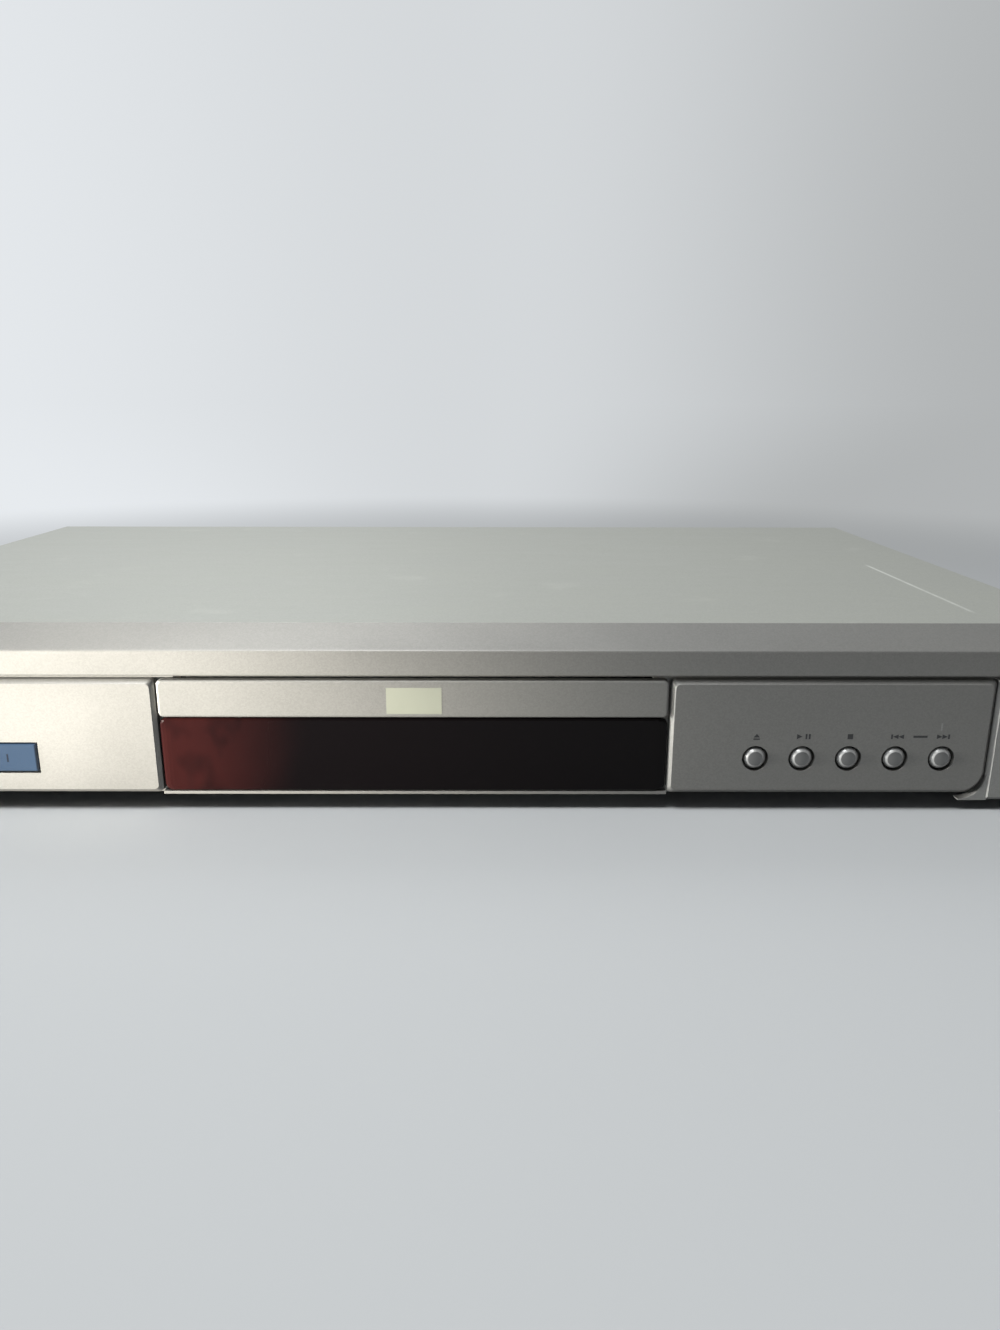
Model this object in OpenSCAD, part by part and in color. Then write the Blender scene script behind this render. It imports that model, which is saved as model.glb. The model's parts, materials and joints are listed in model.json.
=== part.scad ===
// Full-width disc player with a motor-driven tray, modelled as it comes apart on a bench.
// Origin at the centre of the footprint, at the level the feet stand on. Front faces -Y.

/* [Body] */
// Width over the painted cover
body_w = 430; // [410:1:450]
// Depth from the front face to the rear lip of the cover
body_d = 248; // [240:1:290]
// Height of the feet under the chassis
foot_h = 4.5; // [3:0.5:8]
// Radius of one foot
foot_r = 11; // [8:0.5:14]
// Thickness of the steel sheet
sheet_t = 0.8; // [0.6:0.1:1.2]
// Outer bend radius of the cover
bend_r = 1.8; // [1.2:0.1:3]
// Height of a pan screw head
screw_head_h = 1.4; // [1:0.1:2]
// Radius of a pan screw head
screw_head_r = 2.9; // [2.4:0.1:3.5]

/* [Front] */
// Height of the lip under the display window
lip_h = 1.9; // [1.5:0.1:3]
// Height of the display window
window_h = 24.3; // [23:0.1:32]
// Height of the tray door
door_h = 12.05; // [11.5:0.05:14]
// Width of the tray door
door_w = 158; // [153:0.1:158.6]
// Width of the recess that holds the door and the window
recess_w = 159.6; // [159.5:0.1:166]
// Height of the groove under the brow
groove_h = 1.35; // [0.8:0.05:2.5]
// Height of the upright part of the brow
brow_h = 7.9; // [6:0.1:12]
// Height of the sloped strip above the brow
slope_h = 6.2; // [4:0.1:9]
// Depth of the sloped strip above the brow
slope_d = 12; // [10:0.5:16]
// Thickness of the panels on the fascia wall
panel_t = 3.5; // [3:0.1:4.5]
// Thickness of the moulded walls
wall_t = 2.4; // [2:0.1:3]
// Width of one end cap
cap_w = 34.3; // [28:0.1:38]
// Radius of the outer lower corner of the panels
corner_r = 7.5; // [5:0.5:9]
// Width of the bevel round the panels and the end caps
bevel_w = 1.2; // [0.6:0.1:1.6]

/* [Buttons] */
// Radius of a round button
button_r = 3.45; // [3:0.05:4]
// Width of the dark ring round a button
ring_w = 0.7; // [0.5:0.05:1.4]
// Width of the cone round the face of a button
button_bevel = 1.15; // [0.6:0.05:1.5]
// Distance between round buttons
button_pitch = 14.6; // [13:0.1:15]
// Distance of the last round button from the end cap
button_inset = 15.3; // [11:0.1:18]
// Height of the buttons over the chassis floor
button_z = 13.2; // [11:0.1:15]
// How far the button domes stand out of the front
button_proud = 0.6; // [0.3:0.1:1]
// How far a button moves when pressed
button_travel = 0.8; // [0.4:0.1:0.9]
// Width of the power button
power_w = 19; // [14:0.5:24]
// Height of the power button
power_h = 9.3; // [7:0.1:11]
// Distance of the power button from the end cap
power_inset = 53.2; // [40:0.1:60]

/* [Disc tray] */
// Diameter of a disc
disc_d = 120; // [118:1:121]
// Width of the tray
tray_w = 146; // [142:0.5:148]
// Length of the tray
tray_l = 174; // [168:1:178]
// Height of the tray
tray_h = 8.5; // [8.2:0.1:9]
// Depth of the disc well
well_depth = 2; // [1.6:0.1:2.3]
// Depth of the small disc well under it
small_well_depth = 1; // [0.6:0.1:1.2]
// Width of the slot for the spindle and the pick-up
slot_w = 44; // [42:1:46]
// How far the tray comes out
tray_travel = 140; // [120:1:142]

/* [Tray drive] */
// Module of the gear teeth
gear_module = 1; // [0.9:0.05:1.05]
// Teeth of the gear that drives the rack
tray_teeth = 24; // [24:4:28]
// Teeth of the pinion on the belt pulley
pinion_teeth = 12; // [12:2:14]
// Play between meshing teeth
backlash = 0.3; // [0.25:0.05:0.4]
// Radius of the belt pulley
pulley_r = 11; // [9:0.5:11.5]
// Radius of the motor pulley
motor_pulley_r = 3.5; // [3:0.1:4]
// Distance between the pulley axes
belt_span = 34; // [30:1:38]
// Radius of the tray motor
motor_r = 10.5; // [9:0.5:11]

/* [Traverse] */
// Width of the traverse plate
traverse_w = 90; // [84:1:92]
// Angle by which the traverse drops
drop_angle = 5; // [3:0.5:5]
// How far the cam slider moves
cam_travel = 20; // [18:1:24]
// Radius of the turntable
table_r = 14; // [12:0.5:15]
// Radius of the guide rods
rod_r = 1.5; // [1.2:0.1:2]
// Distance of each rod from the middle
rod_x = 26; // [25:0.5:28]
// Radius of the lead screw
screw_r = 2; // [1.5:0.1:2.2]
// How far the pick-up travels
sled_travel = 34; // [28:1:35]
// Smallest distance of the lens from the spindle
sled_start = 24; // [23.5:0.5:26]
// Radius of the clamp puck
puck_r = 15; // [13:0.5:16]

/* [Rear] */
// Outer radius of a phono jack sleeve
jack_r = 4.15; // [4:0.05:4.3]
// Length of a phono jack outside the panel
jack_l = 8; // [7:0.5:10]
// Distance between jack columns
jack_pitch = 17; // [15:0.5:19]
// Distance between the two jack rows
jack_row_pitch = 16; // [14:0.5:17]
// Distance of the first jack column from the middle
jack_x = 62; // [55:1:70]
// Distance of the mains inlet from the side of the cover
inlet_inset = 43; // [37:1:60]

/* [Clearances] */
// Gap between pieces that move past each other
gap = 0.3; // [0.3:0.05:0.4]
// Radial play of a shaft in its bearing
fit = 0.05; // [0.02:0.01:0.09]
// Gap round the moulded front pieces
trim_gap = 0.5; // [0.3:0.05:0.8]

/* [Hidden] */
$fn = 48;
e = 0.01;

// Levels, from the table upwards
z_floor = foot_h + sheet_t;
z_window = foot_h + lip_h;
z_door = z_window + window_h + gap;
z_door_top = z_door + door_h;
z_brow = z_door_top + groove_h;
z_slope = z_brow + brow_h;
z_top = z_slope + slope_h;
z_cover_under = z_top - sheet_t;
z_panel = foot_h + 1.4;
z_cap = foot_h - 1;

// Planes, from the front backwards
overall_d = body_d + button_proud + jack_l;
y_face = -overall_d / 2 + button_proud;
y_wall = y_face + panel_t;
y_wall_back = y_wall + wall_t;
y_seam = y_face + slope_d;
y_rear = y_face + body_d;
y_panel_out = y_rear - sheet_t;
y_panel_in = y_panel_out - sheet_t;
y_jack_end = y_rear + jack_l;
door_t = panel_t - gap;
y_tray = y_face + 8;
y_board = y_face + 11;
board_t = 1.6;
y_loader = y_face + 16;
cap_x = body_w / 2 - cap_w;
cap_wall = 2;

// Tray and disc
z_tray_top = z_door_top - 1.2;
z_tray = z_tray_top - tray_h;
z_well = z_tray_top - well_depth;
z_tray_under = z_well - small_well_depth - 1.2;
well_r = disc_d / 2 + 0.8;
small_well_r = 40.6;
y_disc = y_tray + well_r + 5;
tray_wall = 2.2;
y_tray_end = y_tray + tray_l;
y_rack_start = y_tray + tray_wall + 4;

// Loader
loader_in = tray_w / 2 + gap + 0.2;
loader_wall = 3;
loader_out = loader_in + loader_wall;
loader_l = y_tray_end + 8 - y_loader;
z_loader = z_floor + 3;
loader_floor = 2;
z_loader_floor = z_loader + loader_floor;
z_bridge = z_tray_top + 4.5;
guide_w = 4.5;

// Gear train: rack, tray gear, pinion with pulley, motor pulley
tray_gear_r = gear_module * tray_teeth / 2;
pinion_r = gear_module * pinion_teeth / 2;
pressure = 20;
z_gear = z_tray_under - 3.8;
gear_h = 3.4;
rack_x = -62;
gear_x = rack_x + tray_gear_r;
gear_y = y_loader + 14;
pinion_x = gear_x + tray_gear_r + pinion_r;
motor_x = pinion_x + belt_span;
shaft_r = 1.5;
z_pulley = z_gear - 4.2;
pulley_h = 3.6;
belt_t = 0.9;
belt_h = 1.6;
rack_pitch = PI * gear_module;
rack_teeth = floor((tray_travel + 12) / rack_pitch);

// Traverse: rises at the front about an axle at its rear
z_disc = z_well + 2.15;
z_sled_top = z_tray_under - 0.45;
plate_t = 1.6;
z_plate = z_disc - 16;
z_pivot = z_plate - 2;
y_pivot = y_tray_end - 13;
y_plate = y_disc - 32;
cam_t = 3;
y_cam = y_plate - 1.4 - cam_t;
pin_r = 1.5;
pin_drop = (y_pivot - y_plate + 1.4 + cam_t / 2) * sin(drop_angle);
z_pin = z_plate - 1.5;
z_cam = z_loader_floor + gap;
spindle_r = 12.5;
spindle_h = 6;
hub_r = 7.2;
z_rod = z_plate + 6.5;
y_sled = y_disc + sled_start;
sled_w = 40;
sled_l = 24;
lead_x = -34.5;
rod_front = y_disc + sled_start - sled_l / 2 - 2;
rod_l = sled_travel + sled_l + 5;
lead_motor_r = 4.5;
axle_r = 2;

// Rear panel
inlet_x = body_w / 2 - inlet_inset;
jack_base_r = jack_r + 0.3;
jack_step = 1.4;
z_jack = z_floor + 12;
inlet_w = 21;
inlet_h = 13;
inlet_z = z_floor + 16;
optical_x = jack_x + 3 * jack_pitch + 18;
svideo_x = jack_x + 3 * jack_pitch;

// Front buttons
button_x = cap_x - button_inset - 4 * button_pitch;
power_x = cap_x - power_inset;
ring_r = button_r + ring_w;

// Inner boards, clear of the cover and of the loader
side_room = 11;
z_main = z_floor + 6;
main_x = loader_out + 19.5;
main_w = body_w / 2 - side_room - main_x;
main_l = 128;
jack_board_l = y_panel_in - y_loader - loader_l - 18;
power_board_x = side_room - body_w / 2;
power_board_end = -loader_out - 27.5;
power_board_w = power_board_end - power_board_x;
power_board_l = 150;
boss_r = 3;

// ---- Shared shapes ----

// A block given by its two opposite corners
module block(low, high) {
    translate(low) cube(high - low);
}

// A round bar along Y, from one depth to another
module bar_y(x, z, r, y0, y1) {
    translate([x, y0, z]) rotate([-90, 0, 0]) cylinder(r = r, h = y1 - y0);
}

// A round bar upright, from one level to another
module post(x, y, r, z0, z1) {
    translate([x, y, z0]) cylinder(r = r, h = z1 - z0);
}

// A flat outline in X and Z, pushed back from one depth to another
module slab(y0, y1) {
    translate([0, y1, 0]) rotate([90, 0, 0]) linear_extrude(height = y1 - y0) children();
}

// A rectangle with four round corners, from its low corner
module round_rect(x0, z0, w, h, r) {
    translate([x0 + r, z0]) square([w - 2 * r, h]);
    translate([x0, z0 + r]) square([w, h - 2 * r]);
    for (x = [x0 + r, x0 + w - r], z = [z0 + r, z0 + h - r]) translate([x, z]) circle(r);
}

// A pan-head screw along Z, its head upwards, with a cross recess
module pan_screw(length) {
    slot_l = screw_head_r * 1.1;
    slot_t = 0.7;
    difference() {
        rotate_extrude($fn = 24) polygon([
            [0, -length], [1.4, -length], [1.4, 0], [screw_head_r, 0],
            [screw_head_r, screw_head_h * 0.55], [screw_head_r * 0.75, screw_head_h],
            [0, screw_head_h]
        ]);
        for (a = [0, 90]) rotate(a + 45) translate([-slot_l / 2, -slot_t / 2, screw_head_h * 0.4])
            cube([slot_l, slot_t, screw_head_h]);
    }
}

// Radius to angle on an involute, in degrees
function inv_angle(a) = tan(a) * 180 / PI - a;

// Half the angle of a tooth at one radius
function half_tooth(r, pitch_r, teeth) =
    let (base_r = pitch_r * cos(pressure))
    let (at_pitch = 90 / teeth - backlash / 4 / pitch_r * 180 / PI)
    at_pitch + inv_angle(pressure) - inv_angle(acos(min(1, base_r / max(r, base_r))));

// A spur gear outline with involute teeth, the first tooth at the given angle
module gear_outline(teeth, start) {
    pitch_r = gear_module * teeth / 2;
    root_r = pitch_r - 1.25 * gear_module;
    tip_r = pitch_r + gear_module;
    steps = 4;
    polygon([
        for (t = [0 : teeth - 1], side = [-1, 1], k = [0 : steps])
            let (along = side < 0 ? k / steps : 1 - k / steps)
            let (r = root_r + (tip_r - root_r) * along)
            let (a = start + t * 360 / teeth + side * half_tooth(r, pitch_r, teeth))
            [r * cos(a), r * sin(a)]
    ]);
}

// ---- Housing ----

vent_pitch = 7;
vent_w = 2.6;

// A row of vent slots as flat outlines, running along the first axis
module vent_row(x0, z0, count, length) {
    for (k = [0 : count - 1])
        translate([x0 + k * vent_pitch, z0]) square([vent_w, length]);
}

foot_places = [for (x = [-1, 1], y = [-1, 1])
    [x * (body_w / 2 - 38), y < 0 ? y_face + 34 : y_rear - 34]];

board_posts = [
    [jack_x - 12, y_panel_in - jack_board_l + 8], [main_x + 2, y_panel_in - main_l + 4],
    for (y = [y_panel_in - 8, y_panel_in - main_l + 4]) [main_x + main_w - 5, y],
    for (x = [power_board_x + 5, power_board_x + power_board_w - 5],
         y = [y_panel_in - 8, y_panel_in - power_board_l + 2])
        [x, y]
];

loader_posts = [for (x = [-1, 1], y = [y_loader + 6, y_tray_end + 2])
    [x * (loader_out + 5), y]];

module chassis_base() {
    side_x = body_w / 2 - sheet_t;
    front_x = body_w / 2 - cap_wall - gap;
    color("silver") difference() {
        union() {
            block([-side_x, y_seam + gap, foot_h], [side_x, y_panel_in, z_floor]);
            block([-front_x, y_wall_back, foot_h], [front_x, y_seam + 1, z_floor]);
            for (s = [-1, 1])
                translate([s * (side_x - sheet_t / 2) - sheet_t / 2, y_seam + gap, foot_h])
                    cube([sheet_t, y_panel_in - y_seam - gap, 14]);
            block([-front_x, y_wall_back, foot_h],
                [front_x, y_wall_back + sheet_t, z_floor + 2.5]);
            for (p = board_posts) post(p[0], p[1], boss_r, z_floor - e, z_main);
            for (p = loader_posts) post(p[0], p[1], boss_r, z_floor - e, z_loader);
            // Pressed stiffening ribs beside the loader
            for (x = [-loader_out - 14, loader_out + 9])
                block([x, y_face + 40, z_floor - e], [x + 5, y_disc + 40, z_floor + 1.2]);
        }
        for (p = concat(board_posts, loader_posts)) post(p[0], p[1], 1.4, foot_h - 1, z_main + 1);
        for (p = foot_places) post(p[0], p[1], 2.1, foot_h - 1, z_floor + 1);
        translate([0, 0, foot_h - 1]) linear_extrude(height = 3) {
            vent_row(power_board_x + 20, y_panel_in - 70, 9, 26);
            vent_row(main_x + 20, y_panel_in - 80, 9, 26);
        }
        // Side screw holes
        for (s = [-1, 1], y = cover_screw_y)
            translate([s * (body_w / 2 - 3), y, cover_screw_z]) rotate([0, 90, 0])
                cylinder(r = 1.6, h = 8, center = true);
    }
}

cover_screw_y = [y_face + 60, y_rear - 40];
cover_screw_z = foot_h + 8;

// Cross-section of the cover: a folded sheet with round shoulders
module cover_section(inset) {
    w = body_w - 2 * inset;
    r = bend_r - inset;
    top = z_top - inset;
    translate([-w / 2, z_floor - 1]) square([w, top - r - z_floor + 1]);
    translate([-w / 2 + r, z_floor - 1]) square([w - 2 * r, top - z_floor + 1]);
    for (s = [-1, 1]) translate([s * (w / 2 - r), top - r]) circle(r);
}

module top_cover() {
    lip = 9;
    color("darkgray") difference() {
        slab(y_seam, y_rear) cover_section(0);
        // Hollow inside, up to the rear lip
        slab(y_seam - 1, y_panel_out) cover_section(sheet_t);
        // The lip stops short, so the rear panel shows under it
        block([-body_w / 2 + sheet_t, y_panel_out - 1, 0],
            [body_w / 2 - sheet_t, y_rear + 1, z_top - lip]);
        block([-body_w, y_face, 0], [body_w, y_rear + 1, z_floor - 0.5]);
        // Vent slots low on both sides
        for (k = [0 : 9])
            block([-body_w, y_rear - 96 + k * vent_pitch, z_floor + 12],
                [body_w, y_rear - 96 + k * vent_pitch + vent_w, z_floor + 30]);
        for (s = [-1, 1], y = cover_screw_y)
            translate([s * body_w / 2, y, cover_screw_z]) rotate([0, 90, 0])
                cylinder(r = 1.6, h = 4, center = true);
        for (x = rear_lip_x) bar_y(x, z_top - 5, 1.6, y_panel_out - 2, y_rear + 1);
    }
}

rear_lip_x = [-body_w / 2 + 30, 0, body_w / 2 - 30];

// Profile of the brow: slope, upright band and groove ceiling
module brow_profile() {
    t = wall_t;
    polygon([
        [slope_d, z_top], [1.2, z_slope + slope_h * 1.2 / slope_d], [0.35, z_slope + 0.1],
        [0, z_slope - 0.7], [0, z_brow + 0.4], [0.4, z_brow], [panel_t + t, z_brow],
        [panel_t + t, z_brow + t], [t, z_brow + t], [t, z_slope - 0.7], [slope_d, z_top - t]
    ]);
}

// Solid outline of the brow, for its two end walls
module brow_end() {
    polygon([
        [slope_d, z_top], [1.2, z_slope + slope_h * 1.2 / slope_d], [0.35, z_slope + 0.1],
        [0, z_slope - 0.7], [0, z_brow + 0.4], [0.4, z_brow], [slope_d, z_brow]
    ]);
}

// An outline in Y and Z, drawn from one X to another
module along_x(x0, x1) {
    translate([x0, y_face, 0]) rotate([90, 0, 90]) linear_extrude(height = x1 - x0) children();
}

tray_door_x = tray_w / 2 + 1.5;
button_places = [for (k = [0 : 4]) button_x + k * button_pitch];
z_button = z_floor + button_z - 0.8;
stem_r = button_r + gap;

module front_fascia() {
    tongue_x = body_w / 2 - bend_r - gap;
    color("silver") difference() {
        union() {
            along_x(-body_w / 2, body_w / 2) brow_profile();
            block([-body_w / 2 + cap_wall, y_wall, foot_h + 0.5],
                [body_w / 2 - cap_wall, y_wall_back, z_brow + e]);
            for (x = [-body_w / 2, body_w / 2 - wall_t]) along_x(x, x + wall_t) brow_end();
            // Lip under the window
            block([-recess_w / 2 + e, y_face + 0.8, foot_h + 0.7],
                [recess_w / 2 - e, y_wall + e, z_window - 0.2]);
            // Tongue under the front edge of the cover
            block([-tongue_x, y_seam - 1, z_cover_under - 1.2], [tongue_x, y_seam + 6, z_cover_under - 0.1]);
            // Snap hooks over the chassis flange
            for (s = [-1, 1], x = [door_w / 2 - 18, cap_x - 30])
                block([s * x - 6, y_wall_back - e, z_floor + 3.2], [s * x + 6, y_wall_back + 3, z_floor + 5]);
        }
        // Tray opening
        block([-tray_door_x, y_wall - 1, z_door + 0.4], [tray_door_x, y_wall_back + 1, z_door_top + gap]);
        // Display opening
        block([-54, y_wall - 1, z_window + 5], [54, y_wall_back + 1, z_window + window_h - 3.5]);
        // Button guides
        for (x = button_places) bar_y(x, z_button, stem_r, y_wall - 1, y_wall_back + 1);
        block([-power_x - power_w / 2 - gap, y_wall - 1, z_button - power_h / 2 - gap],
            [-power_x + power_w / 2 + gap, y_wall_back + 1, z_button + power_h / 2 + gap]);
    }
}

// Outline of a front panel: square on the recess side, a large round lower outer corner
module panel_outline(inset) {
    x0 = recess_w / 2 + inset;
    x1 = cap_x - trim_gap - inset;
    z0 = z_panel + inset;
    z1 = z_door_top - inset;
    r = corner_r - inset;
    s = 1.4;
    hull() {
        for (p = [[x0 + s, z0 + s], [x0 + s, z1 - s], [x1 - s, z1 - s]]) translate(p) circle(s, $fn = 16);
        translate([x1 - r, z0 + r]) circle(r, $fn = 48);
    }
}

// A panel with bevelled front edges
module bevelled_panel() {
    hull() {
        slab(y_face, y_wall) panel_outline(bevel_w);
        slab(y_face + bevel_w, y_wall) panel_outline(0);
    }
}

module right_panel() {
    color("silver") difference() {
        bevelled_panel();
        for (x = button_places) bar_y(x, z_button, ring_r, y_face - 1, y_wall + 1);
    }
}

module left_panel() {
    gap_w = 0.45;
    color("ivory") difference() {
        mirror([1, 0, 0]) bevelled_panel();
        block([-power_x - power_w / 2 - gap_w, y_face - 1, z_button - power_h / 2 - gap_w],
            [-power_x + power_w / 2 + gap_w, y_wall + 1, z_button + power_h / 2 + gap_w]);
    }
}

// A block in X and Z with bevelled front edges
module bevelled_block(x0, z0, x1, z1, w) {
    hull() {
        block([x0 + w, y_face, z0 + w], [x1 - w, y_wall, z1 - w]);
        block([x0, y_face + w, z0], [x1, y_wall, z1]);
    }
}

// An end cap: a post with a foot that runs in under the round panel corner
module right_end_cap() {
    reach = corner_r + trim_gap;
    color("dimgray") {
        bevelled_block(cap_x, z_cap, body_w / 2, z_door_top, bevel_w);
        difference() {
            block([cap_x - reach, y_face + 0.4, z_cap], [cap_x + 1, y_wall, z_cap + reach]);
            bar_y(cap_x - reach, z_cap + 0.3 + reach, reach, y_face - 1, y_wall + 1);
        }
        block([body_w / 2 - cap_wall, y_wall - e, z_cap], [body_w / 2, y_seam, z_door_top]);
        block([cap_x, y_wall - e, z_cap], [body_w / 2, y_seam, foot_h]);
    }
}

module left_end_cap() {
    mirror([1, 0, 0]) right_end_cap();
}

// A window whose two ends roll back further than its long edges
module display_window() {
    r = 2.5;
    steps = 4;
    edge_roll = 0.8;
    end_roll = 3.2;
    front = y_face + 0.6;
    x = door_w / 2 + 0.2;
    color("black") hull() for (k = [0 : steps])
        let (a = 90 * k / steps, i = edge_roll * (1 - cos(a)), end = x - end_roll * (1 - cos(a)))
        slab(front + edge_roll * (1 - sin(a)), y_wall)
            round_rect(-end, z_window + i, 2 * end, window_h - 2 * i, r - i, $fn = 24);
}

// ---- Rear panel and what is on it ----

// Places of the phono jacks: column and row, left to right and bottom to top
function jack_place(column, row) =
    [jack_x + column * jack_pitch, z_jack + row * jack_row_pitch];
red_jacks = [jack_place(0, 0), jack_place(2, 0)];
white_jacks = [jack_place(0, 1)];
yellow_jacks = [jack_place(1, 1)];
green_jacks = [jack_place(2, 1)];
blue_jacks = [jack_place(1, 0)];
all_jacks = concat(red_jacks, white_jacks, yellow_jacks, green_jacks, blue_jacks);
z_svideo = z_jack + jack_row_pitch;
svideo_r = 5.6;
optical_w = 10;
panel_screws = [
    [-body_w / 2 + 12, z_floor + 11], [body_w / 2 - 12, z_floor + 11],
    [jack_x - jack_pitch + 4, z_jack + jack_row_pitch / 2],
    [optical_x + 14, z_jack + jack_row_pitch / 2],
    [-inlet_x - inlet_w / 2 - 7, inlet_z], [-inlet_x + inlet_w / 2 + 7, inlet_z]
];

module rear_panel() {
    side_x = body_w / 2 - 2 * sheet_t;
    color("silver") difference() {
        union() {
            block([-side_x, y_panel_in, z_floor], [side_x, y_panel_out, z_cover_under]);
            // Flange under the cover
            block([-side_x + 6, y_panel_in - 8, z_cover_under - sheet_t],
                [side_x - 6, y_panel_in + e, z_cover_under]);
        }
        for (p = all_jacks) bar_y(p[0], p[1], jack_base_r + fit, y_panel_in - 1, y_panel_out + 1);
        bar_y(svideo_x, z_svideo, svideo_r + fit, y_panel_in - 1, y_panel_out + 1);
        block([optical_x - optical_w / 2 - fit, y_panel_in - 1, z_jack - optical_w / 2 - fit],
            [optical_x + optical_w / 2 + fit, y_panel_out + 1, z_jack + optical_w / 2 + fit]);
        block([-inlet_x - inlet_w / 2 + 1, y_panel_in - 1, inlet_z - inlet_h / 2 + 1],
            [-inlet_x + inlet_w / 2 - 1, y_panel_out + 1, inlet_z + inlet_h / 2 - 1]);
        // Vent slots over the power supply and in the middle
        slab(y_panel_in - 1, y_panel_out + 1) {
            vent_row(-inlet_x + 30, z_floor + 12, 10, 24);
            vent_row(-28, z_floor + 12, 8, 24);
        }
        for (p = panel_screws) bar_y(p[0], p[1], 1.45, y_panel_in - 1, y_panel_out + 1);
        for (x = rear_lip_x) bar_y(x, z_top - 5, 1.45, y_panel_in - 2, y_panel_out + 1);
    }
}

module feet() {
    pad_depth = 1;
    color("black") for (p = foot_places) difference() {
        union() {
            translate([p[0], p[1], 0.8]) rotate_extrude() polygon([
                [0, 0], [foot_r - 1, 0], [foot_r, 1], [foot_r - 0.6, foot_h - 0.8],
                [0, foot_h - 0.8]
            ]);
            // Rivet through the floor
            post(p[0], p[1], 2, foot_h - e, z_floor + 1.4);
        }
        post(p[0], p[1], foot_r - 3, 0, 0.8 + pad_depth);
    }
}

module foot_pads() {
    color("dimgray") for (p = foot_places) post(p[0], p[1], foot_r - 3.2, 0, 1.8);
}

module cover_screws() {
    color("silver") for (s = [-1, 1], y = cover_screw_y)
        translate([s * body_w / 2, y, cover_screw_z]) rotate([0, s * 90, 0]) pan_screw(6);
}

module rear_screws() {
    color("silver") {
        for (p = panel_screws) translate([p[0], y_panel_out, p[1]]) rotate([-90, 0, 0])
            pan_screw(5);
        for (x = rear_lip_x) translate([x, y_rear, z_top - 5]) rotate([-90, 0, 0])
            pan_screw(6);
    }
}

module mains_inlet() {
    depth = 15;
    lobe_r = 4.6;
    lobe_x = 4.3;
    color("black") difference() {
        union() {
            block([-inlet_x - inlet_w / 2, y_panel_out, inlet_z - inlet_h / 2],
                [-inlet_x + inlet_w / 2, y_panel_out + 1.6, inlet_z + inlet_h / 2]);
            block([-inlet_x - inlet_w / 2 + 1.1, y_panel_out - depth, inlet_z - inlet_h / 2 + 1.1],
                [-inlet_x + inlet_w / 2 - 1.1, y_panel_out + e, inlet_z + inlet_h / 2 - 1.1]);
        }
        slab(y_panel_out - 9, y_panel_out + 3) {
            for (s = [-1, 1]) translate([-inlet_x + s * lobe_x, inlet_z]) circle(lobe_r);
            translate([-inlet_x - lobe_x, inlet_z - lobe_r + 0.6])
                square([2 * lobe_x, 2 * lobe_r - 1.2]);
        }
    }
    color("silver") for (s = [-1, 1])
        bar_y(-inlet_x + s * lobe_x, inlet_z, 1.2, y_panel_out - 9 - e, y_panel_out - 1);
}

jack_block_y = y_panel_in - 14;

module jack_block() {
    color("black") {
        for (c = [0 : 2]) block([jack_x + c * jack_pitch - 6, jack_block_y, z_main + board_t],
            [jack_x + c * jack_pitch + 6, y_panel_in, z_jack + jack_row_pitch + 7]);
        // Insulators inside the sleeves
        for (p = all_jacks) difference() {
            bar_y(p[0], p[1], 3.1, y_panel_in - e, y_jack_end - 1.4);
            bar_y(p[0], p[1], 1.6, y_panel_in + 1, y_jack_end);
        }
    }
}

module jack_sleeves() {
    color("silver") for (p = all_jacks) difference() {
        union() {
            bar_y(p[0], p[1], jack_base_r, y_panel_in, y_rear + jack_step);
            bar_y(p[0], p[1], jack_r, y_rear, y_jack_end);
        }
        bar_y(p[0], p[1], 3.2, y_panel_in - 1, y_jack_end + 1);
    }
}

// Coloured rings round the foot of the sleeves
module collars(places) {
    for (p = places) difference() {
        bar_y(p[0], p[1], 6.2, y_panel_out, y_rear + jack_step);
        bar_y(p[0], p[1], jack_base_r + fit, y_panel_out - 1, y_rear + 3);
    }
}

module red_collars() {
    color("red") collars(red_jacks);
}

module white_collar() {
    color("white") collars(white_jacks);
}

module yellow_collar() {
    color("yellow") collars(yellow_jacks);
}

module green_collar() {
    color("green") collars(green_jacks);
}

module blue_collar() {
    color("blue") collars(blue_jacks);
}

module s_video_jack() {
    color("black") {
        difference() {
            bar_y(svideo_x, z_svideo, svideo_r, y_panel_in - 2, y_rear + 1);
            bar_y(svideo_x, z_svideo, 4.3, y_rear - 4, y_rear + 2);
        }
        block([svideo_x - 6.5, y_panel_in - 12, z_main + board_t],
            [svideo_x + 6.5, y_panel_in, z_svideo + 6.5]);
        bar_y(svideo_x, z_svideo - 0.6, 1.6, y_rear - 4 - e, y_rear + 0.4);
    }
}

module optical_jack() {
    w = optical_w / 2;
    color("dimgray") difference() {
        block([optical_x - w, y_panel_in - 10, z_main + board_t],
            [optical_x + w, y_rear + 1, z_jack + w]);
        block([optical_x - w + 1.5, y_rear - 5, z_jack - w + 1.5],
            [optical_x + w - 1.5, y_rear + 2, z_jack + w - 1.5]);
    }
}

// ---- Boards ----

// A circuit board with screw holes near its corners
module board(x, y, w, l) {
    difference() {
        block([x, y, z_main], [x + w, y + l, z_main + board_t]);
        for (p = board_posts) post(p[0], p[1], 1.6, z_main - 1, z_main + 3);
    }
}

module main_board() {
    color("darkgreen") {
        board(main_x - 3, y_panel_in - main_l, main_w + 3, main_l);
        // Tongue under the jacks
        board(jack_x - 16, y_panel_in - jack_board_l, main_x - 3 - jack_x + 16 + e, jack_board_l);
    }
}

module power_board() {
    color("peru") board(power_board_x, y_panel_in - power_board_l, power_board_w, power_board_l);
}

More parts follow.
